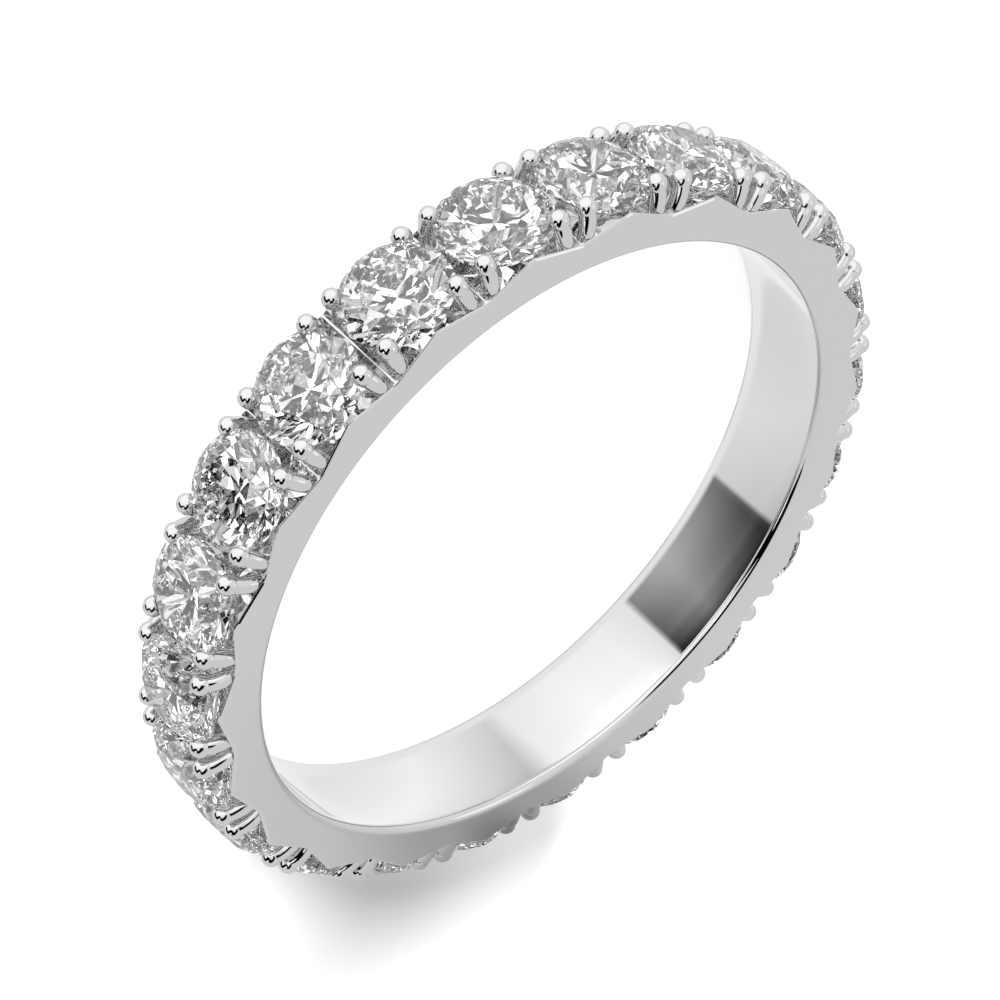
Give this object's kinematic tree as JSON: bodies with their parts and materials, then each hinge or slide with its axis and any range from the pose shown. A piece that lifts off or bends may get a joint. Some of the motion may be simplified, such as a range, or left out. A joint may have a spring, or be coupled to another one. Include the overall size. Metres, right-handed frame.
{
  "type": "eternity ring",
  "caption": "Slim finger ring set all the way round with a row of round brilliant cut stones, each held by small round prongs over a zigzag edged band with a smooth open inside.",
  "frame": {"origin": "centre of the finger hole on the plane that the ring lies on", "axes": "+Z along the finger hole's axis, up from the side face that the ring lies on; +X through the middle of the first stone"},
  "size_m": [0.0202, 0.0202, 0.0028],
  "materials": {
    "white_gold": "high polish white gold",
    "stone": "clear colourless cut stone, polished facets"
  },
  "bodies": {
    "root": {"band": "white_gold", "stone_01": "stone", "stone_02": "stone", "stone_03": "stone", "stone_04": "stone", "stone_05": "stone", "stone_06": "stone", "stone_07": "stone", "stone_08": "stone", "stone_09": "stone", "stone_10": "stone", "stone_11": "stone", "stone_12": "stone", "stone_13": "stone", "stone_14": "stone", "stone_15": "stone", "stone_16": "stone", "stone_17": "stone", "stone_18": "stone", "stone_19": "stone", "stone_20": "stone", "stone_21": "stone", "stone_22": "stone"}
  },
  "joints": []
}
